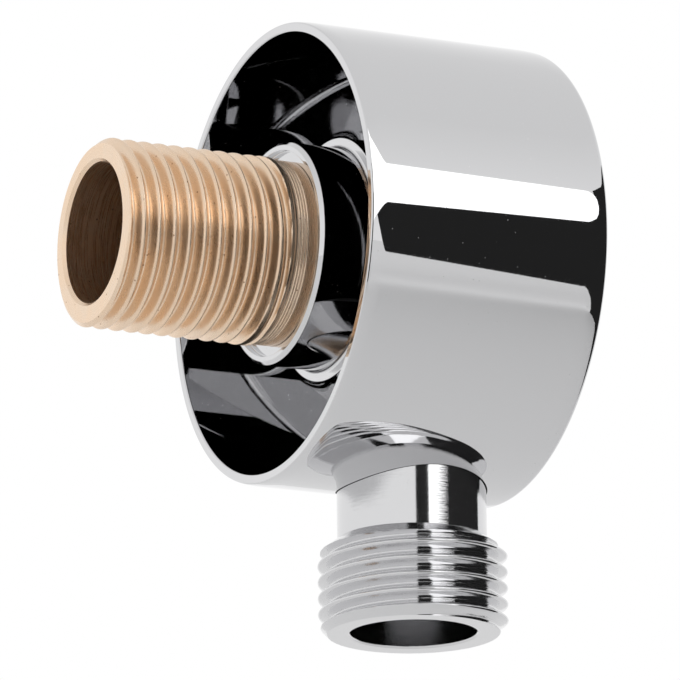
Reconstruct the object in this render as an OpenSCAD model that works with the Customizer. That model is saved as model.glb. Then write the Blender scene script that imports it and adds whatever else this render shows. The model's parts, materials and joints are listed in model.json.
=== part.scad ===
// Wall outlet elbow for a shower hose.
// A shallow drum with an open back covers the hole in the wall. In its hollow stands a
// stepped hub, cast in one with the front. A brass nipple screws into the hub and goes into
// the wall, and a spigot for the hose leaves the hub downwards through the skirt.
// The origin is on the axis of the nipple, in the plane where the rim meets the wall.
// +Y goes into the wall and +Z is up. All sizes are in millimetres.

/* [Drum] */
// Outer diameter of the drum
drum_d = 51.5; // [44:0.5:70]
// Depth of the drum from the wall to its front face
drum_depth = 28.8; // [27.6:0.1:40]
// Thickness of the skirt
skirt_wall = 1.2; // [0.8:0.1:3]
// Thickness of the closed front
front_wall = 2.2; // [1.2:0.1:3.2]
// Radius of the outer edge of the front
front_round = 0.8; // [0.2:0.1:2]
// Radius in the corners of the hollow
root_round = 1; // [0.3:0.1:3]
// Bevel on both edges of the rim
rim_bevel = 0.2; // [0.1:0.05:0.4]

/* [Hub] */
// Diameter of the hub at its open end
hub_d = 24.8; // [23.8:0.1:26.3]
// Distance of the hub's end behind the wall plane
hub_setback = 0.3; // [0:0.1:2]
// Bevel on the outer edge of the hub's end
hub_bevel = 0.4; // [0.1:0.1:0.8]
// How far the collar at the hub's root stands out round the hub
collar_step = 1.2; // [0.6:0.1:3.6]
// Distance of the collar's step behind the wall plane
collar_setback = 7; // [3:0.1:8]
// Radius in the corner of the collar's step
step_round = 0.4; // [0.1:0.1:0.5]
// Width of the recess round the nipple in the hub's end
recess_gap = 0.97; // [0.5:0.01:1.3]
// Depth of that recess
recess_h = 0.8; // [0.5:0.1:3]
// Diameter of the water chamber
chamber_d = 13; // [12.2:0.1:16]
// Depth of the chamber past the hole for the spigot
chamber_end = 0.6; // [0.3:0.1:1.5]

/* [Half inch pipe thread] */
// Outside diameter of the thread
thread_d = 20.955; // [20.4:0.005:21.4]
// Distance from one crest to the next
pitch = 1.814; // [1.4:0.001:2.4]
// Depth of the thread
thread_h = 1.162; // [0.8:0.001:1.2]
// Angle between the flanks
thread_angle = 55; // [50:1:60]

/* [Wall nipple] */
// Length of the nipple that stands out of the wall plane
nipple_out = 21.5; // [12:0.1:40]
// Depth of the nipple's end behind the wall plane
nipple_in = 6.4; // [4:0.1:7]
// Wall between the nipple's bore and the root of its thread
nipple_wall = 1.53; // [1:0.01:3]
// Bevel on the outer edge of the nipple's end
nipple_bevel = 0.5; // [0.2:0.1:1]
// Bevel at the mouth of the nipple's bore
bore_bevel = 0.35; // [0.1:0.05:0.6]
// Length of the plain band where the thread runs out at the hub
band_l = 1.6; // [0.5:0.1:5]
// How far the band lies below the crests
band_drop = 0.23; // [0.05:0.01:0.5]

/* [Outlet spigot] */
// Distance of the spigot's axis behind the wall plane
outlet_setback = 16.9; // [16.6:0.1:17.4]
// Distance of the spigot's end below the nipple's axis
outlet_drop = 41.6; // [38:0.1:60]
// Diameter of the plain neck
neck_d = 16.52; // [15:0.02:16.9]
// Wall between the bore at the spigot's end and the root of its thread
mouth_wall = 2.37; // [1.5:0.01:3.5]
// Depth of that bore
mouth_h = 12; // [4:0.1:14]
// Bevel at the mouth of that bore
mouth_bevel = 0.2; // [0.1:0.05:0.5]
// Bore through the neck and the stub
passage_d = 8.4; // [6:0.1:9.5]
// Bevel on the outer edge of the spigot's end
spigot_bevel = 1; // [0.4:0.1:1.4]
// Height of the threaded length above the spigot's end
thread_l = 9; // [5:0.1:9.5]
// Height of the cone between thread and neck
shoulder_h = 1.6; // [0.8:0.1:3]
// Diameter of the stub that screws into the hub
stub_d = 12; // [11:0.1:12.1]
// Distance of the stub's end below the nipple's axis
stub_drop = 6.2; // [5.8:0.1:8]
// Distance of the neck's seat in the hub below the nipple's axis
seat_drop = 10.6; // [9.6:0.1:10.9]

/* [Gaskets] */
// Thickness of both gaskets
gasket_t = 1; // [0.5:0.1:1.4]
// Space between a gasket and the walls beside it
gasket_gap = 0.2; // [0.1:0.05:0.4]

/* [Clearances] */
// Space between the neck and the hole in the skirt
skirt_gap = 0.12; // [0.05:0.01:0.3]
// Space round a screwed-in end, where the threads themselves aren't drawn
screw_gap = 0.05; // [0.02:0.01:0.1]

/* [Hidden] */
$fn = 96;
// How far a cut reaches past the face that it opens
past = 1;

drum_r = drum_d / 2;
hollow_r = drum_r - skirt_wall;
floor_y = front_wall - drum_depth;
hub_r = hub_d / 2;
collar_r = hub_r + collar_step;
chamber_r = chamber_d / 2;
thread_r = thread_d / 2;
root_r = thread_r - thread_h;
// Where a thread isn't drawn, a plain cylinder halfway down its flanks stands in for it
mean_r = thread_r - thread_h / 2;
// Length of a flank along the axis, and what is left for each crest and each root
flank = thread_h * tan(thread_angle / 2);
land = (pitch - 2 * flank) / 2;
nipple_r = root_r - nipple_wall;
nipple_hole_r = mean_r + screw_gap;
nipple_seat = nipple_in + gasket_t;
band_r = thread_r - band_drop;
recess_r = thread_r + recess_gap;
recess_floor = -hub_setback - recess_h;
neck_r = neck_d / 2;
stub_r = stub_d / 2;
mouth_r = root_r - mouth_wall;
passage_r = passage_d / 2;
socket_r = neck_r + skirt_gap;
stub_hole_r = stub_r + screw_gap;
chamber_depth = outlet_setback + stub_hole_r + chamber_end;
spigot_h = outlet_drop - stub_drop;
neck_top = outlet_drop - seat_drop - gasket_t;

// Height of each crest's middle above a threaded end, as far as the thread is cut
function crests(start, length) =
    [for (c = start + land / 2; c + land / 2 <= length; c = c + pitch) c];

// Outline of the thread between its first and its last crest, as radius and height
function thread_outline(start, length) =
    let (c = crests(start, length), last = len(c) - 1)
    [for (i = [0:last])
        each concat(
            i == 0 ? [] : [[root_r, c[i] - land / 2 - flank], [thread_r, c[i] - land / 2]],
            i == last ? [] : [[thread_r, c[i] + land / 2], [root_r, c[i] + land / 2 + flank]])];

// Turns an outline of radius and height round the Y axis, with height along +Y
module turned() {
    rotate([-90, 0, 0]) rotate_extrude() children();
}

// Round inside corner, with the solid below and on the given side of the point
module corner_fill(radius, side) {
    translate([side * radius, radius]) difference() {
        translate([min(0, -side * radius), -radius]) square(radius);
        circle(radius);
    }
}

module drum_outline() {
    difference() {
        union() {
            translate([0, front_round - drum_depth]) square([drum_r, drum_depth - front_round]);
            translate([0, -drum_depth]) square([drum_r - front_round, front_round]);
            translate([drum_r - front_round, front_round - drum_depth]) circle(front_round);
        }
        polygon([[drum_r - rim_bevel, 0], [drum_r + past, past + rim_bevel], [drum_r + past, -rim_bevel - past],
            [drum_r, -rim_bevel]]);
    }
}

module hub_outline() {
    translate([0, floor_y - front_wall / 2])
        square([collar_r, front_wall / 2 - floor_y - collar_setback]);
    polygon([[0, -collar_setback - past], [hub_r, -collar_setback - past],
        [hub_r, -hub_setback - hub_bevel], [hub_r - hub_bevel, -hub_setback], [0, -hub_setback]]);
    translate([hub_r, -collar_setback]) corner_fill(step_round, 1);
}

module hollow_outline() {
    difference() {
        union() {
            translate([0, floor_y]) square([hollow_r, past - floor_y]);
            polygon([[hollow_r - past, -rim_bevel], [hollow_r, -rim_bevel],
                [hollow_r + rim_bevel, 0], [hollow_r + rim_bevel, past], [hollow_r - past, past]]);
        }
        hub_outline();
        translate([collar_r, floor_y]) corner_fill(root_round, 1);
        translate([hollow_r, floor_y]) corner_fill(root_round, -1);
    }
}

// Waterway of the hub: recess, hole for the nipple and chamber
module waterway_outline() {
    translate([0, recess_floor]) square([recess_r, recess_h + past]);
    translate([0, -nipple_seat]) square([nipple_hole_r, nipple_seat - hub_setback]);
    translate([0, -chamber_depth]) square([chamber_r, chamber_depth - hub_setback]);
}

// Drum, front and hub are one casting, turned, bored from the back and from below
module drum_body() {
    color("gainsboro") difference() {
        turned() difference() {
            drum_outline();
            hollow_outline();
            waterway_outline();
        }
        translate([0, -outlet_setback, -drum_r - past])
            cylinder(h = drum_r + past - seat_drop, r = socket_r);
        translate([0, -outlet_setback, -drum_r])
            cylinder(h = drum_r, r = stub_hole_r);
    }
}

module wall_nipple() {
    length = nipple_in + nipple_out;
    // The thread's outline counts from the outer end, so it is turned end for end
    cut = [for (p = thread_outline(nipple_bevel, nipple_out - band_l)) [p[0], nipple_out - p[1]]];
    run_out = cut[len(cut) - 1][1] - land;
    color("burlywood") turned() polygon(concat(
        [[nipple_r, -nipple_in], [nipple_r, nipple_out - bore_bevel],
            [nipple_r + bore_bevel, nipple_out], [thread_r - nipple_bevel, nipple_out],
            [thread_r, nipple_out - nipple_bevel]],
        cut,
        [[thread_r, run_out], [band_r, run_out - band_drop], [band_r, recess_floor + screw_gap],
            [mean_r, recess_floor + screw_gap], [mean_r, -nipple_in]]));
}

// Flat ring between the nipple's end and its seat in the hub
module nipple_gasket() {
    color("dimgray") translate([0, -nipple_seat, 0]) turned() difference() {
        square([mean_r - gasket_gap, gasket_t]);
        square([nipple_r + gasket_gap, gasket_t]);
    }
}

module outlet_spigot() {
    color("silver") translate([0, -outlet_setback, -outlet_drop]) rotate_extrude() polygon(concat(
        [[mouth_r + mouth_bevel, 0], [thread_r - spigot_bevel, 0], [thread_r, spigot_bevel]],
        thread_outline(spigot_bevel, thread_l),
        [[thread_r, thread_l], [neck_r, thread_l + shoulder_h], [neck_r, neck_top],
            [stub_r, neck_top], [stub_r, spigot_h], [passage_r, spigot_h],
            [passage_r, mouth_h + mouth_r - passage_r], [mouth_r, mouth_h], [mouth_r, mouth_bevel]]));
}

// Flat ring between the neck's shoulder and the floor of its socket in the hub
module outlet_gasket() {
    color("dimgray") translate([0, -outlet_setback, -seat_drop - gasket_t]) difference() {
        cylinder(h = gasket_t, r = neck_r - gasket_gap);
        translate([0, 0, -past]) cylinder(h = gasket_t + 2 * past, r = stub_r + gasket_gap);
    }
}

drum_body();
wall_nipple();
nipple_gasket();
outlet_spigot();
outlet_gasket();
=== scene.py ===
import json
from math import atan2, cos, pi, radians, sin, tan

import bmesh
import bpy
from mathutils import Matrix, Vector


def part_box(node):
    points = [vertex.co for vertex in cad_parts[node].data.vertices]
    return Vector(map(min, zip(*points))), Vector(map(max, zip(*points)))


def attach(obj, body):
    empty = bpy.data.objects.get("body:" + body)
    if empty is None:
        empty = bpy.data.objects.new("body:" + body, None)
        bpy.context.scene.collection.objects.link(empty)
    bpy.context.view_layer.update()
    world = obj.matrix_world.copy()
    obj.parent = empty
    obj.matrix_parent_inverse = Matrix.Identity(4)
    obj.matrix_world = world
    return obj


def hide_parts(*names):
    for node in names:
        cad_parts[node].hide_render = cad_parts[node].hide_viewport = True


# Lengths are millimetres up to the last step of each mesh, which brings it to metres
mm = 0.001

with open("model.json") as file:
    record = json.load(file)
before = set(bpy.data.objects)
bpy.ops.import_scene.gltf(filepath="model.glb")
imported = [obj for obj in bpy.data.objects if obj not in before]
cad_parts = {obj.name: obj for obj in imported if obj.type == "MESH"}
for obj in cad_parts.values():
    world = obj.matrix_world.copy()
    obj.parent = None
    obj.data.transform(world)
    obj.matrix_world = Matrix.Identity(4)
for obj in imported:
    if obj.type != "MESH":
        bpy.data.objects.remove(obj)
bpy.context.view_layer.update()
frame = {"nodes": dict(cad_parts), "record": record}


def nodeBox(name):
    low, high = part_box(name)
    return low / mm, high / mm


drumLow, drumHigh = nodeBox("drum_body")
nippleLow, nippleHigh = nodeBox("wall_nipple")
spigotLow, spigotHigh = nodeBox("outlet_spigot")
mountRadius = {m["name"]: m["dims"].get("r_mm") for m in frame["record"]["mounts"]}
outletBack = (spigotLow.y + spigotHigh.y) / 2


# ---- camera ----
# Where the photograph was taken from, as angles round the object and a distance
photoView = {
    "azimuth": -115.934, "elevation": -15.154, "roll": -0.759,
    "distance": 876.38, "aim": (0, -5, -6), "aside": (3.098, -3.292),
    "focalPixels": 7947.8, "framePixels": 680, "sensor": 36,
}


def viewAxes(azimuth, elevation, roll=0):
    a, e, t = radians(azimuth), radians(elevation), radians(roll)
    back = Vector((sin(a) * cos(e), -cos(a) * cos(e), sin(e)))
    level = (-back).cross(Vector((0, 0, 1))).normalized()
    upright = level.cross(-back)
    right = cos(t) * level + sin(t) * upright
    up = cos(t) * upright - sin(t) * level
    return right, up, back


def makeCamera(v):
    right, up, back = viewAxes(v["azimuth"], v["elevation"], v["roll"])
    place = Vector(v["aim"]) + v["distance"] * back + v["aside"][0] * right + v["aside"][1] * up
    data = bpy.data.cameras.new("photoCamera")
    data.sensor_width = v["sensor"]
    data.lens = v["focalPixels"] * v["sensor"] / v["framePixels"]
    data.clip_start = 0.01
    camera = bpy.data.objects.new("photoCamera", data)
    turn = Matrix((right, up, back)).transposed().to_4x4()
    camera.matrix_world = Matrix.Translation(place * mm) @ turn
    bpy.context.scene.collection.objects.link(camera)
    bpy.context.scene.camera = camera
    print("camera at", [round(c) for c in place], "mm")
    return camera


makeCamera(photoView)


# Shader helpers
def newMaterial(name):
    material = bpy.data.materials.new(name)
    material.use_nodes = True
    material.node_tree.nodes.clear()
    return material, material.node_tree


def addNode(tree, kind, inputs=None, **settings):
    node = tree.nodes.new(kind)
    for key, value in settings.items():
        setattr(node, key, value)
    for key, value in (inputs or {}).items():
        if isinstance(value, bpy.types.NodeSocket):
            tree.links.new(value, node.inputs[key])
        else:
            node.inputs[key].default_value = value
    return node


def calc(tree, operation, *values):
    node = addNode(tree, "ShaderNodeMath", operation=operation)
    for index, value in enumerate(values):
        if isinstance(value, bpy.types.NodeSocket):
            tree.links.new(value, node.inputs[index])
        else:
            node.inputs[index].default_value = value
    return node.outputs[0]


def spread(tree, value, low, high, toLow=0.0, toHigh=1.0):
    node = addNode(tree, "ShaderNodeMapRange", {"Value": value, "From Min": low, "From Max": high,
                                                "To Min": toLow, "To Max": toHigh})
    return node.outputs["Result"]


def mixColours(tree, factor, first, second):
    node = addNode(tree, "ShaderNodeMix", data_type="RGBA")
    for index, value in ((0, factor), (6, first), (7, second)):
        if isinstance(value, bpy.types.NodeSocket):
            tree.links.new(value, node.inputs[index])
        else:
            node.inputs[index].default_value = value
    return node.outputs[2]


def newGroup(name, inputs, outputs):
    group = bpy.data.node_groups.new(name, "ShaderNodeTree")
    for label, kind, value in inputs:
        socket = group.interface.new_socket(label, in_out="INPUT", socket_type=kind)
        if value is not None:
            socket.default_value = value
    for label, kind in outputs:
        group.interface.new_socket(label, in_out="OUTPUT", socket_type=kind)
    return group, group.nodes.new("NodeGroupInput"), group.nodes.new("NodeGroupOutput")


def useGroup(tree, group, inputs):
    node = tree.nodes.new("ShaderNodeGroup")
    node.node_tree = group
    for key, value in inputs.items():
        if isinstance(value, bpy.types.NodeSocket):
            tree.links.new(value, node.inputs[key])
        else:
            node.inputs[key].default_value = value
    return node


# Turning marks run round a turned piece: their pattern changes fast along the axis and with the
# radius, and slowly round it. Position is in millimetres with Z along the axis.
def makeTurningMarks():
    group, given, result = newGroup(
        "turningMarks",
        [("Position", "NodeSocketVector", None), ("Fineness", "NodeSocketFloat", 12.0),
         ("Drift", "NodeSocketFloat", 0.15), ("Detail", "NodeSocketFloat", 2.0)],
        [("Marks", "NodeSocketFloat")])
    split = addNode(group, "ShaderNodeSeparateXYZ", {0: given.outputs["Position"]})
    across = calc(group, "POWER", calc(group, "ADD", calc(group, "POWER", split.outputs[0], 2.0),
                                       calc(group, "POWER", split.outputs[1], 2.0)), 0.5)
    along = calc(group, "ADD", split.outputs[2], calc(group, "MULTIPLY", across, 0.7))
    slow = addNode(group, "ShaderNodeVectorMath", {0: given.outputs["Position"]}, operation="SCALE")
    group.links.new(given.outputs["Drift"], slow.inputs["Scale"])
    noise = addNode(group, "ShaderNodeTexNoise", {
        "Vector": slow.outputs[0], "W": calc(group, "MULTIPLY", along, given.outputs["Fineness"]),
        "Scale": 1.0, "Detail": given.outputs["Detail"], "Roughness": 0.6}, noise_dimensions="4D")
    group.links.new(noise.outputs[0], result.inputs["Marks"])
    return group


# Specks are small scattered spots of dust or pitting
def makeSpecks():
    group, given, result = newGroup(
        "specks",
        [("Position", "NodeSocketVector", None), ("Density", "NodeSocketFloat", 1.5),
         ("Size", "NodeSocketFloat", 0.12), ("Share", "NodeSocketFloat", 0.3)],
        [("Mask", "NodeSocketFloat")])
    cells = addNode(group, "ShaderNodeTexVoronoi", {
        "Vector": given.outputs["Position"], "Scale": given.outputs["Density"]}, feature="F1")
    near = calc(group, "LESS_THAN", cells.outputs["Distance"], given.outputs["Size"])
    tone = addNode(group, "ShaderNodeSeparateColor", {0: cells.outputs["Color"]})
    chosen = calc(group, "LESS_THAN", tone.outputs[0], given.outputs["Share"])
    group.links.new(calc(group, "MULTIPLY", near, chosen), result.inputs["Mask"])
    return group


turningMarks = makeTurningMarks()
specks = makeSpecks()


# Position in millimetres, turned so that Z runs along the piece's own axis
def pieceCoordinates(tree, alongY, centre=(0, 0, 0)):
    place = addNode(tree, "ShaderNodeTexCoord")
    scale = addNode(tree, "ShaderNodeMapping", {
        "Vector": place.outputs["Object"], "Scale": (1 / mm, 1 / mm, 1 / mm),
        "Location": tuple(-c for c in centre)})
    if not alongY:
        return scale.outputs[0]
    split = addNode(tree, "ShaderNodeSeparateXYZ", {0: scale.outputs[0]})
    return addNode(tree, "ShaderNodeCombineXYZ", {
        0: split.outputs[2], 1: split.outputs[0], 2: split.outputs[1]}).outputs[0]


def closeMaterial(tree, shader):
    out = addNode(tree, "ShaderNodeOutputMaterial")
    tree.links.new(shader.outputs[0], out.inputs["Surface"])


def polishedChrome():
    material, tree = newMaterial("polishedChrome")
    spot = pieceCoordinates(tree, True)
    marks = useGroup(tree, turningMarks, {"Position": spot, "Fineness": 3.0, "Drift": 0.08}).outputs[0]
    dust = useGroup(tree, specks, {"Position": spot, "Density": 1.6, "Size": 0.07, "Share": 0.25}).outputs[0]
    soft = spread(tree, marks, 0.3, 0.7, 0.012, 0.03)
    rough = calc(tree, "MAXIMUM", soft, calc(tree, "MULTIPLY", dust, 0.4))
    bump = addNode(tree, "ShaderNodeBump", {"Height": marks, "Strength": 0.02, "Distance": 0.00002})
    shader = addNode(tree, "ShaderNodeBsdfPrincipled", {
        "Base Color": (0.68, 0.68, 0.69, 1), "Metallic": 1.0, "Roughness": rough, "Normal": bump.outputs[0]})
    closeMaterial(tree, shader)
    return material


# Chrome for the drum's inside and the drilled holes: its dark base colour is painted shade for the hollow's
# inside, and the turning marks vary that tone a little
def hollowChromePaintedShade():
    material, tree = newMaterial("hollowChromePaintedShade")
    spot = pieceCoordinates(tree, True)
    marks = useGroup(tree, turningMarks, {
        "Position": spot, "Fineness": 9.0, "Drift": 0.2, "Detail": 4.0}).outputs[0]
    colour = mixColours(tree, spread(tree, marks, 0.35, 0.75), (0.30, 0.29, 0.29, 1), (0.36, 0.34, 0.34, 1))
    bump = addNode(tree, "ShaderNodeBump", {"Height": marks, "Strength": 0.1, "Distance": 0.00003})
    shader = addNode(tree, "ShaderNodeBsdfPrincipled", {
        "Base Color": colour, "Metallic": 1.0, "Roughness": spread(tree, marks, 0.3, 0.8, 0.04, 0.16),
        "Normal": bump.outputs[0]})
    closeMaterial(tree, shader)
    return material


def satinChrome():
    material, tree = newMaterial("satinChrome")
    spot = pieceCoordinates(tree, True)
    marks = useGroup(tree, turningMarks, {
        "Position": spot, "Fineness": 14.0, "Drift": 0.3, "Detail": 3.0}).outputs[0]
    grit = addNode(tree, "ShaderNodeTexNoise", {"Vector": spot, "Scale": 6.0, "Detail": 4.0}).outputs[0]
    height = calc(tree, "ADD", calc(tree, "MULTIPLY", marks, 0.5), grit)
    bump = addNode(tree, "ShaderNodeBump", {"Height": height, "Strength": 0.35, "Distance": 0.00005})
    shader = addNode(tree, "ShaderNodeBsdfPrincipled", {
        "Base Color": mixColours(tree, grit, (0.60, 0.59, 0.61, 1), (0.72, 0.70, 0.73, 1)), "Metallic": 1.0,
        "Roughness": spread(tree, grit, 0.3, 0.7, 0.12, 0.32), "Normal": bump.outputs[0]})
    closeMaterial(tree, shader)
    return material


def turnedChrome():
    material, tree = newMaterial("turnedChrome")
    spot = pieceCoordinates(tree, False, (0, outletBack, 0))
    marks = useGroup(tree, turningMarks, {
        "Position": spot, "Fineness": 11.0, "Drift": 0.25, "Detail": 3.0}).outputs[0]
    dust = useGroup(tree, specks, {"Position": spot, "Density": 2.2, "Size": 0.1, "Share": 0.3}).outputs[0]
    height = calc(tree, "ADD", marks, calc(tree, "MULTIPLY", dust, 0.6))
    bump = addNode(tree, "ShaderNodeBump", {"Height": height, "Strength": 0.25, "Distance": 0.00004})
    shader = addNode(tree, "ShaderNodeBsdfPrincipled", {
        "Base Color": (0.68, 0.68, 0.69, 1), "Metallic": 1.0,
        "Roughness": spread(tree, marks, 0.3, 0.7, 0.03, 0.12), "Normal": bump.outputs[0]})
    closeMaterial(tree, shader)
    return material


def rawBrass():
    material, tree = newMaterial("rawBrass")
    spot = pieceCoordinates(tree, True)
    marks = useGroup(tree, turningMarks, {
        "Position": spot, "Fineness": 10.0, "Drift": 0.2, "Detail": 3.0}).outputs[0]
    clouds = addNode(tree, "ShaderNodeTexNoise", {"Vector": spot, "Scale": 0.35, "Detail": 3.0}).outputs[0]
    pits = useGroup(tree, specks, {"Position": spot, "Density": 1.1, "Size": 0.11, "Share": 0.3}).outputs[0]
    clean = mixColours(tree, spread(tree, clouds, 0.35, 0.65), (0.86, 0.65, 0.47, 1), (0.84, 0.66, 0.50, 1))
    colour = mixColours(tree, calc(tree, "MULTIPLY", pits, 0.8), clean, (0.30, 0.16, 0.08, 1))
    height = calc(tree, "SUBTRACT", marks, pits)
    bump = addNode(tree, "ShaderNodeBump", {"Height": height, "Strength": 0.3, "Distance": 0.00004})
    shader = addNode(tree, "ShaderNodeBsdfPrincipled", {
        "Base Color": colour, "Metallic": 1.0, "Roughness": spread(tree, marks, 0.25, 0.75, 0.2, 0.36),
        "Normal": bump.outputs[0]})
    closeMaterial(tree, shader)
    return material


def gasketRubber():
    material, tree = newMaterial("gasketRubber")
    spot = pieceCoordinates(tree, False)
    grain = addNode(tree, "ShaderNodeTexNoise", {"Vector": spot, "Scale": 5.0, "Detail": 5.0}).outputs[0]
    bump = addNode(tree, "ShaderNodeBump", {"Height": grain, "Strength": 0.3, "Distance": 0.00005})
    shader = addNode(tree, "ShaderNodeBsdfPrincipled", {
        "Base Color": mixColours(tree, grain, (0.02, 0.02, 0.022, 1), (0.06, 0.06, 0.062, 1)),
        "Roughness": spread(tree, grain, 0.3, 0.7, 0.55, 0.8), "Normal": bump.outputs[0]})
    closeMaterial(tree, shader)
    return material


chromeSkin, chromeHollowPaintedShade, chromeSatin = polishedChrome(), hollowChromePaintedShade(), satinChrome()
chromeTurned, brassRaw, rubberBlack = turnedChrome(), rawBrass(), gasketRubber()
print("materials made")


# An outline is a list of (radius, height) points, with height along the turning axis.
# softened() rounds its corners: each point carries the radius of its own corner.
def softened(points, steps=5, hold=0.05):
    path = []
    for i, (r, h, bend) in enumerate(points):
        here = Vector((r, h))
        if i in (0, len(points) - 1):
            path.append(here)
            continue
        before = (Vector(points[i - 1][:2]) - here)
        after = (Vector(points[i + 1][:2]) - here)
        gapA, gapB = before.length, after.length
        before.normalize()
        after.normalize()
        if bend <= 0:
            path += [here + before * min(hold, gapA / 3), here, here + after * min(hold, gapB / 3)]
            continue
        half = before.angle(after) / 2
        reach = bend / tan(half)
        centre = here + (before + after).normalized() * (bend / sin(half))
        start, end = here + before * reach - centre, here + after * reach - centre
        turn = atan2(start.x * end.y - start.y * end.x, start.dot(end))
        path.append(here + before * (reach + hold))
        for k in range(steps + 1):
            c, s = cos(turn * k / steps), sin(turn * k / steps)
            path.append(centre + Vector((start.x * c - start.y * s, start.x * s + start.y * c)))
        path.append(here + after * (reach + hold))
    return [(p.x, p.y) for p in path]


# Turns an outline round Z. finishOf gives the number of the material between two points.
def turnOutline(outline, segments, finishOf=None):
    shape = bmesh.new()
    rings = []
    for r, h in outline:
        if r < 1e-6:
            rings.append([shape.verts.new((0, 0, h))])
        else:
            rings.append([shape.verts.new((r * cos(2 * pi * k / segments), r * sin(2 * pi * k / segments), h))
                          for k in range(segments)])
    for i in range(len(rings) - 1):
        low, high = rings[i], rings[i + 1]
        finish = finishOf(outline[i], outline[i + 1]) if finishOf else 0
        for k in range(segments):
            n = (k + 1) % segments
            corners = [low[0] if len(low) == 1 else low[k], low[0] if len(low) == 1 else low[n],
                       high[0] if len(high) == 1 else high[n], high[0] if len(high) == 1 else high[k]]
            face = shape.faces.new(list(dict.fromkeys(corners)))
            face.material_index = finish
    mesh = bpy.data.meshes.new("turned")
    shape.to_mesh(mesh)
    shape.free()
    return mesh


alongY = Matrix(((0, 1, 0, 0), (0, 0, 1, 0), (1, 0, 0, 0), (0, 0, 0, 1)))


def finishPiece(name, meshes, place, materials, body="root"):
    shape = bmesh.new()
    for mesh in meshes:
        shape.from_mesh(mesh)
    bmesh.ops.remove_doubles(shape, verts=shape.verts, dist=0.002)
    bmesh.ops.dissolve_degenerate(shape, dist=0.0005, edges=shape.edges)
    bmesh.ops.recalc_face_normals(shape, faces=shape.faces)
    openEdges = sum(1 for e in shape.edges if len(e.link_faces) != 2)
    mesh = bpy.data.meshes.new(name)
    shape.to_mesh(mesh)
    shape.free()
    mesh.transform(Matrix.Scale(mm, 4) @ place)
    for material in materials:
        mesh.materials.append(material)
    mesh.shade_smooth()
    mesh.set_sharp_from_angle(angle=radians(35))
    piece = bpy.data.objects.new(name, mesh)
    bpy.context.scene.collection.objects.link(piece)
    print(name, len(mesh.polygons), "faces,", openEdges, "open edges")
    return piece


# Geometry Nodes tree for a threaded side: it turns an outline round Z and cuts a right-handed
# thread of the given profile into whatever lies outside the thread's root
def makeThreadTree():
    tree = bpy.data.node_groups.new("threadCutting", "GeometryNodeTree")
    face = tree.interface
    face.new_socket("Outline", in_out="INPUT", socket_type="NodeSocketGeometry")
    for label, kind, value in (
            ("Segments", "NodeSocketInt", 160), ("Rows", "NodeSocketInt", 200),
            ("Pitch", "NodeSocketFloat", 1.814), ("Depth", "NodeSocketFloat", 1.162),
            ("Radius", "NodeSocketFloat", 10.4775), ("Slope", "NodeSocketFloat", 1.92),
            ("Rounding", "NodeSocketFloat", 0.4), ("First crest", "NodeSocketFloat", 0.0),
            ("Runout end", "NodeSocketFloat", 0.0), ("Runout length", "NodeSocketFloat", 1.0),
            ("Finish", "NodeSocketMaterial", None)):
        socket = face.new_socket(label, in_out="INPUT", socket_type=kind)
        if value is not None:
            socket.default_value = value
    face.new_socket("Geometry", in_out="OUTPUT", socket_type="NodeSocketGeometry")
    given, result = tree.nodes.new("NodeGroupInput"), tree.nodes.new("NodeGroupOutput")

    def value(label):
        return given.outputs[label]

    one = calc(tree, "ADD", value("Segments"), 1.0)
    two = calc(tree, "ADD", value("Rows"), 1.0)
    grid = addNode(tree, "GeometryNodeMeshGrid", {
        "Size X": 1.0, "Size Y": 1.0, "Vertices X": one, "Vertices Y": two})
    spot = addNode(tree, "ShaderNodeSeparateXYZ", {0: grid.outputs["UV Map"]})
    curve = addNode(tree, "GeometryNodeMeshToCurve", {0: value("Outline")})
    sample = addNode(tree, "GeometryNodeSampleCurve", {"Curves": curve.outputs[0], "Factor": spot.outputs[1]},
                     mode="FACTOR")
    outline = addNode(tree, "ShaderNodeSeparateXYZ", {0: sample.outputs["Position"]})
    radius, height = outline.outputs[0], outline.outputs[1]
    # Distance from the nearest crest, measured along the axis
    climb = calc(tree, "MULTIPLY", value("Pitch"), spot.outputs[0])
    along = calc(tree, "SUBTRACT", calc(tree, "SUBTRACT", height, value("First crest")), climb)
    away = calc(tree, "PINGPONG", along, calc(tree, "MULTIPLY", value("Pitch"), 0.5))
    quarter = calc(tree, "MULTIPLY", value("Pitch"), 0.25)
    lift = calc(tree, "MULTIPLY", calc(tree, "SUBTRACT", quarter, away), value("Slope"))
    half = calc(tree, "MULTIPLY", value("Depth"), 0.5)
    crest = calc(tree, "SMOOTH_MIN", lift, half, value("Rounding"))
    root = calc(tree, "SMOOTH_MAX", crest, calc(tree, "MULTIPLY", half, -1.0), value("Rounding"))
    run = calc(tree, "SUBTRACT", height, value("Runout end"))
    fade = calc(tree, "SUBTRACT", 1.0, calc(tree, "DIVIDE", run, value("Runout length")))
    fade = addNode(tree, "ShaderNodeClamp", {"Value": fade}).outputs[0]
    cut = calc(tree, "ADD", calc(tree, "ADD", calc(tree, "SUBTRACT", value("Radius"), half), root),
               calc(tree, "MULTIPLY", fade, value("Depth")))
    reach = calc(tree, "MINIMUM", radius, cut)
    angle = calc(tree, "MULTIPLY", spot.outputs[0], 2 * pi)
    place = addNode(tree, "ShaderNodeCombineXYZ", {
        0: calc(tree, "MULTIPLY", reach, calc(tree, "COSINE", angle)),
        1: calc(tree, "MULTIPLY", reach, calc(tree, "SINE", angle)), 2: height})
    bent = addNode(tree, "GeometryNodeSetPosition", {
        "Geometry": grid.outputs["Mesh"], "Position": place.outputs[0]})
    sewn = addNode(tree, "GeometryNodeMergeByDistance", {"Geometry": bent.outputs[0], "Distance": 0.001})
    real = addNode(tree, "GeometryNodeRealizeInstances", {0: sewn.outputs[0]})
    painted = addNode(tree, "GeometryNodeSetMaterial", {
        "Geometry": real.outputs[0], "Material": value("Finish")})
    tree.links.new(painted.outputs[0], result.inputs[0])
    return tree


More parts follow.
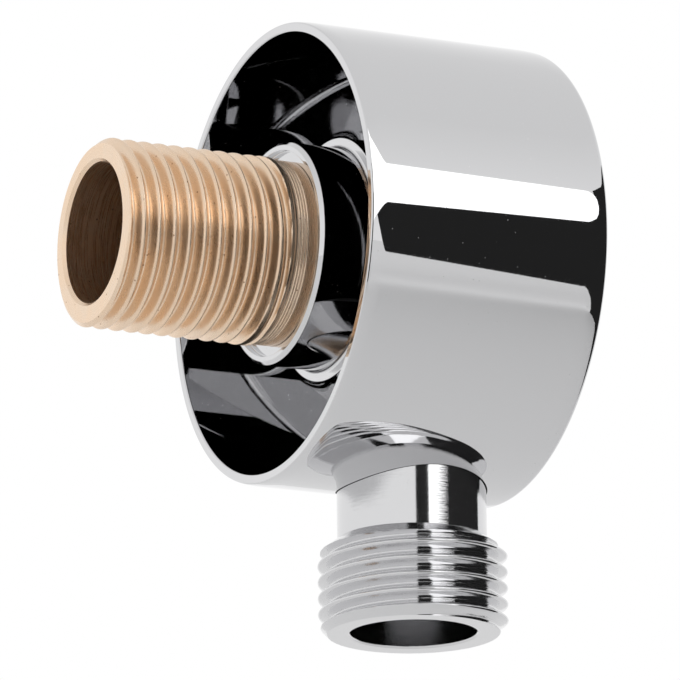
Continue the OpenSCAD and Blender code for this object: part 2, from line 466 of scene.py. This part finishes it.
threadTree = makeThreadTree()
thread = {
    "pitch": 1.814, "depth": 1.162, "halfAngle": 27.5, "rounding": 0.45,
    "radius": mountRadius["wall_thread"], "rowHeight": 0.065,
}
thread["slope"] = 1 / tan(radians(thread["halfAngle"]))
thread["root"] = thread["radius"] - thread["depth"]


def cutThread(name, outline, segments, firstCrest, runoutEnd, runoutLength, material):
    mesh = bpy.data.meshes.new(name + "Outline")
    mesh.from_pydata([(r, h, 0) for r, h in outline], [(i, i + 1) for i in range(len(outline) - 1)], [])
    length = sum((Vector(outline[i + 1]) - Vector(outline[i])).length for i in range(len(outline) - 1))
    holder = bpy.data.objects.new(name + "Outline", mesh)
    bpy.context.scene.collection.objects.link(holder)
    modifier = holder.modifiers.new("threadCutting", "NODES")
    modifier.node_group = threadTree
    sizes = {
        "Segments": segments, "Rows": round(length / thread["rowHeight"]), "Pitch": thread["pitch"],
        "Depth": thread["depth"], "Radius": thread["radius"], "Slope": thread["slope"],
        "Rounding": thread["rounding"], "First crest": firstCrest, "Runout end": runoutEnd,
        "Runout length": runoutLength, "Finish": material,
    }
    for item in threadTree.interface.items_tree:
        if item.in_out == "INPUT" and item.name in sizes:
            modifier[item.identifier] = sizes[item.name]
    bpy.context.view_layer.update()
    skin = bpy.data.meshes.new_from_object(holder.evaluated_get(bpy.context.evaluated_depsgraph_get()))
    holder.modifiers.remove(modifier)
    bpy.data.objects.remove(holder)
    skin.materials.clear()
    print(name, "thread cut,", len(skin.polygons), "faces")
    return skin


# Wall nipple: brass, threaded outside, with a plain bore
nipple = {
    "tip": nippleHigh.y, "end": nippleLow.y, "bore": mountRadius["nipple_bore"],
    "boreBevel": 0.35, "tipBevel": 0.5, "faceJoin": 9.0, "screwed": 9.8965,
    "bandRadius": 10.2475, "bandBottom": -1.05, "bandTop": 1.7, "bandRise": 0.23,
    "ridges": 4, "ridgeHeight": 0.06, "segments": 160,
    "crestSide": 19.85, "runoutEnd": 1.9, "runoutLength": 1.6,
}


def makeNipple(s):
    radius = thread["radius"]
    band = []
    count = s["ridges"] * 6
    for k in range(count + 1):
        h = 0.2 + (s["bandTop"] - 0.4) * k / count
        dip = s["ridgeHeight"] * (0.5 - 0.5 * cos(2 * pi * s["ridges"] * k / count))
        band.append((s["bandRadius"] - dip, h, 0))
    rest = softened([
        (s["faceJoin"], s["tip"], 0), (s["bore"] + s["boreBevel"], s["tip"], 0.06),
        (s["bore"], s["tip"] - s["boreBevel"], 0.08), (s["bore"], s["end"], 0.1),
        (s["screwed"], s["end"], 0.2), (s["screwed"], s["bandBottom"], 0.05),
        (s["bandRadius"], s["bandBottom"], 0.05), (s["bandRadius"], 0.1, 0)])
    rest += [(r, h) for r, h, _ in band]
    rest.append((s["bandRadius"], s["bandTop"]))
    side = [(s["bandRadius"], s["bandTop"]), (radius, s["bandTop"] + s["bandRise"]),
            (radius, s["tip"] - s["tipBevel"]), (radius - s["tipBevel"], s["tip"]), (s["faceJoin"], s["tip"])]
    firstCrest = s["crestSide"] - 0.75 * thread["pitch"]
    skin = cutThread("nipple", side, s["segments"], firstCrest, s["runoutEnd"], s["runoutLength"], brassRaw)
    body = turnOutline(rest, s["segments"])
    piece = finishPiece("nippleThreaded", [skin, body], alongY, [brassRaw])
    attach(piece, "root")
    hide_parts("wall_nipple")
    return piece


makeNipple(nipple)


# Outlet spigot: chromed, with a plain neck, a cone and the hose thread
spigot = {
    "top": spigotHigh.z, "end": spigotLow.z, "mouth": mountRadius["outlet_bore"], "mouthDepth": 12,
    "mouthBevel": 0.2, "passage": 4.2, "stub": 6.0, "neck": 8.26, "neckTop": -11.6, "coneTop": -31.0,
    "coneHeight": 1.6, "endBevel": 1.0, "faceJoin": 9.0, "segments": 192, "crestRight": -36.626,
    "rightTurn": 244.3 / 360,
}


def makeSpigot(s):
    radius = thread["radius"]
    rest = softened([
        (s["faceJoin"], s["end"], 0), (s["mouth"] + s["mouthBevel"], s["end"], 0.12),
        (s["mouth"], s["end"] + s["mouthBevel"], 0.12), (s["mouth"], s["end"] + s["mouthDepth"], 0.1),
        (s["passage"], s["end"] + s["mouthDepth"] + s["mouth"] - s["passage"], 0.1),
        (s["passage"], s["top"], 0.1), (s["stub"], s["top"], 0.15), (s["stub"], s["neckTop"], 0.1),
        (s["neck"], s["neckTop"], 0.15), (s["neck"], s["coneTop"], 0)])
    side = [(s["neck"], s["coneTop"]), (radius, s["coneTop"] - s["coneHeight"]),
            (radius, s["end"] + s["endBevel"]), (radius - s["endBevel"], s["end"]), (s["faceJoin"], s["end"])]
    firstCrest = s["crestRight"] - s["rightTurn"] * thread["pitch"]
    skin = cutThread("spigot", side, s["segments"], firstCrest, -100, 1, chromeTurned)
    body = turnOutline(rest, s["segments"])
    place = Matrix.Translation((0, outletBack, 0))
    piece = finishPiece("spigotThreaded", [skin, body], place, [chromeTurned])
    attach(piece, "root")
    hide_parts("outlet_spigot")
    return piece


makeSpigot(spigot)


# Drum: skirt, closed front and stepped hub in one, polished outside. Polishing has rolled its
# edges over, so the skirt's radius falls off softly towards the rim and towards the front.
drum = {
    "radius": drumHigh.x, "front": drumLow.y, "wall": 1.2, "frontWall": 2.2,
    "rimRound": 0.2, "rimTilt": 11, "rimRoll": 1.7, "frontRound": 0.8, "frontTilt": 5, "frontRoll": 2.0,
    "rollPower": 2.5, "rollSteps": 14, "innerEdge": 0.2, "cornerRound": 1.0,
    "collar": 13.6, "collarBack": -7.0, "collarEdge": 0.12, "stepRound": 0.4,
    "hub": 12.4, "hubBack": -0.3, "hubBevel": 0.4, "recess": 11.4475, "recessFloor": -1.1,
    "nippleHole": 9.9465, "seat": -7.4, "chamber": 6.5, "chamberEnd": -23.55,
    "socket": 8.38, "socketTop": -10.6, "stubHole": 6.05, "segments": 384,
}


def rolledSkirt(s):
    def roll(width, tilt, steps):
        slope = tan(radians(tilt))
        fall = slope * width / s["rollPower"]
        return [(width * k / steps, fall * (1 - k / steps) ** s["rollPower"]) for k in range(steps + 1)], fall

    path = []
    tilt, bend = radians(s["frontTilt"]), s["frontRound"]
    ends, fall = roll(s["frontRoll"], s["frontTilt"], s["rollSteps"])
    centre = (s["radius"] - fall - bend * cos(tilt), s["front"] + bend)
    steps = 12
    for k in range(steps + 1):
        a = -pi / 2 + (pi / 2 - tilt) * k / steps
        path.append((centre[0] + bend * cos(a), centre[1] + bend * sin(a)))
    start = path[-1][1]
    path += [(s["radius"] - sink, start + d) for d, sink in ends[1:]]
    tilt, bend = radians(s["rimTilt"]), s["rimRound"]
    ends, fall = roll(s["rimRoll"], s["rimTilt"], s["rollSteps"])
    top = -bend * (1 - sin(tilt))
    path += [(s["radius"] - sink, top - d) for d, sink in reversed(ends)]
    centre = (s["radius"] - fall - bend * cos(tilt), -bend)
    for k in range(1, 7):
        a = tilt + (pi / 2 - tilt) * k / 6
        path.append((centre[0] + bend * cos(a), centre[1] + bend * sin(a)))
    return path


def makeDrum(s):
    inner = s["radius"] - s["wall"]
    floor = s["front"] + s["frontWall"]
    skirt = rolledSkirt(s)
    hollow = softened([
        (skirt[-1][0] - 0.05, 0, 0), (inner, 0, s["innerEdge"]), (inner, floor, s["cornerRound"]),
        (s["collar"], floor, s["cornerRound"]), (s["collar"], s["collarBack"], s["collarEdge"]),
        (s["hub"], s["collarBack"], s["stepRound"]), (s["hub"], s["hubBack"] - s["hubBevel"], 0.1),
        (s["hub"] - s["hubBevel"], s["hubBack"], 0.1), (s["recess"], s["hubBack"], 0.08),
        (s["recess"], s["recessFloor"], 0.1), (s["nippleHole"], s["recessFloor"], 0.05),
        (s["nippleHole"], s["seat"], 0.1), (s["chamber"], s["seat"], 0.1),
        (s["chamber"], s["chamberEnd"], 0.5), (0, s["chamberEnd"], 0)])
    flat = [(r, s["front"]) for r in (0, skirt[0][0] / 2, skirt[0][0] - 0.05)]
    outline = flat + skirt + hollow

    def finishOf(a, b):
        # 0 polished outside, 1 the hollow, in chrome darkened with painted shade, 2 the hub's end and the
        # collar's step
        if a[0] + 1e-4 >= inner and a[1] > -0.35 or a[0] > inner + 0.1 or a[1] < floor - 0.1:
            return 0
        onStep = a[1] > s["collarBack"] - 0.2 and a[1] < s["collarBack"] + 0.3 and a[0] > s["hub"] + 0.1
        onEnd = a[1] > s["hubBack"] - s["hubBevel"] - 0.1 and a[0] < s["hub"] + 0.1
        return 2 if onStep or onEnd else 1

    solid = turnOutline(outline, s["segments"], finishOf)
    solid.transform(alongY)
    body = bpy.data.objects.new("drumTurned", solid)
    for material in (chromeSkin, chromeHollowPaintedShade, chromeSatin):
        solid.materials.append(material)
    cutter = turnOutline(softened([
        (0, s["front"], 0), (s["socket"], s["front"], 0), (s["socket"], s["socketTop"], 0),
        (s["stubHole"], s["socketTop"], 0), (s["stubHole"], 0, 0), (0, 0, 0)], hold=0.2), 128)
    cutter.transform(Matrix.Translation((0, outletBack, 0)))
    # The drilled holes' walls take the hollow's chrome, darkened with painted shade
    for material in (chromeHollowPaintedShade, chromeHollowPaintedShade, chromeHollowPaintedShade):
        cutter.materials.append(material)
    drill = bpy.data.objects.new("drill", cutter)
    for thing in (body, drill):
        bpy.context.scene.collection.objects.link(thing)
        shape = bmesh.new()
        shape.from_mesh(thing.data)
        bmesh.ops.recalc_face_normals(shape, faces=shape.faces)
        shape.to_mesh(thing.data)
        shape.free()
    modifier = body.modifiers.new("drilled", "BOOLEAN")
    modifier.operation = "DIFFERENCE"
    modifier.solver = "EXACT"
    modifier.object = drill
    bpy.context.view_layer.update()
    drilled = bpy.data.meshes.new_from_object(body.evaluated_get(bpy.context.evaluated_depsgraph_get()))
    body.modifiers.remove(modifier)
    bpy.data.objects.remove(body)
    bpy.data.objects.remove(drill)
    drilled.materials.clear()
    finishes = [chromeSkin, chromeHollowPaintedShade, chromeSatin]
    piece = finishPiece("drumShell", [drilled], Matrix.Identity(4), finishes)
    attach(piece, "root")
    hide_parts("drum_body")
    return piece


makeDrum(drum)

# The gaskets keep their CAD solids
for gasket in ("nipple_gasket", "outlet_gasket"):
    mesh = frame["nodes"][gasket].data
    mesh.materials.clear()
    mesh.materials.append(rubberBlack)
print("pieces made")


# Studio: a pale floor below the camera's sight line, a white world and cards round the object.
# A card's corners are given as angles from the camera's side towards the image's right, and
# as heights above the horizon.
studio = {
    "floorHeight": -300, "floorSize": 6000, "cardDistance": 750,
    "softBox": (2.0, [(26, 1.5), (51.2, 12.6), (54.6, 14.2), (58.5, 16.0), (60.5, 18), (61.5, 21),
                      (61.5, 24), (60, 26.2), (57.9, 27.6), (54.7, 29.8), (26, 49)]),
    "blackFlag": (0.02, [(37, 6), (51.2, 12.6), (54.6, 14.2), (58.5, 16.0), (60.5, 18), (61.5, 21),
                         (61.5, 24), (60, 26.2), (60, 28), (122, 28), (122, -50), (62, -50), (60, -22),
                         (58, -18), (54.2, -13.3), (50.9, -9.5)]),
    "darkStrip": (0.02, [(7.6, -30), (27.7, -30), (27.7, 30), (7.6, 30)]),
}


def directionPoint(around, height, distance):
    a = radians(photoView["azimuth"] + around)
    e = radians(height)
    return distance * Vector((sin(a) * cos(e), -cos(a) * cos(e), sin(e)))


def glowMaterial(name, strength):
    material, tree = newMaterial(name)
    shader = addNode(tree, "ShaderNodeEmission", {"Color": (1, 1, 1, 1), "Strength": strength})
    closeMaterial(tree, shader)
    return material


def makeCard(name, strength, corners, distance):
    mesh = bpy.data.meshes.new(name)
    points = [directionPoint(a, h, distance) * mm for a, h in corners]
    mesh.from_pydata(points, [], [list(range(len(points)))])
    mesh.materials.append(glowMaterial(name, strength))
    card = bpy.data.objects.new(name, mesh)
    card.visible_camera = False
    card.visible_shadow = False
    bpy.context.scene.collection.objects.link(card)
    return card


def makeFloor(s):
    half = s["floorSize"] * mm / 2
    mesh = bpy.data.meshes.new("floor")
    z = s["floorHeight"] * mm
    corners = [(-half, -half, z), (half, -half, z), (half, half, z), (-half, half, z)]
    mesh.from_pydata(corners, [], [(0, 1, 2, 3)])
    material, tree = newMaterial("paleFloor")
    shader = addNode(tree, "ShaderNodeBsdfPrincipled", {
        "Base Color": (0.93, 0.93, 0.93, 1), "Roughness": 0.9})
    closeMaterial(tree, shader)
    mesh.materials.append(material)
    floor = bpy.data.objects.new("floor", mesh)
    bpy.context.scene.collection.objects.link(floor)


def makeWorld():
    world = bpy.data.worlds.new("paleStudio")
    world.use_nodes = True
    tree = world.node_tree
    tree.nodes.clear()
    path = addNode(tree, "ShaderNodeLightPath")
    way = addNode(tree, "ShaderNodeTexCoord")
    split = addNode(tree, "ShaderNodeSeparateXYZ", {0: way.outputs["Generated"]})
    level = spread(tree, split.outputs[2], 0.35, 0.8, 1.0, 0.84)
    shade = calc(tree, "MAXIMUM", path.outputs["Is Camera Ray"], level)
    background = addNode(tree, "ShaderNodeBackground", {"Color": (1, 1, 1, 1), "Strength": shade})
    out = addNode(tree, "ShaderNodeOutputWorld")
    tree.links.new(background.outputs[0], out.inputs["Surface"])
    bpy.context.scene.world = world


makeWorld()
makeFloor(studio)
for cardName in ("softBox", "blackFlag", "darkStrip"):
    strength, corners = studio[cardName]
    near = 0.97 if cardName == "softBox" else 1.0
    makeCard(cardName, strength, corners, studio["cardDistance"] * near)
print("studio made")

bpy.context.scene.view_settings.view_transform = "Standard"
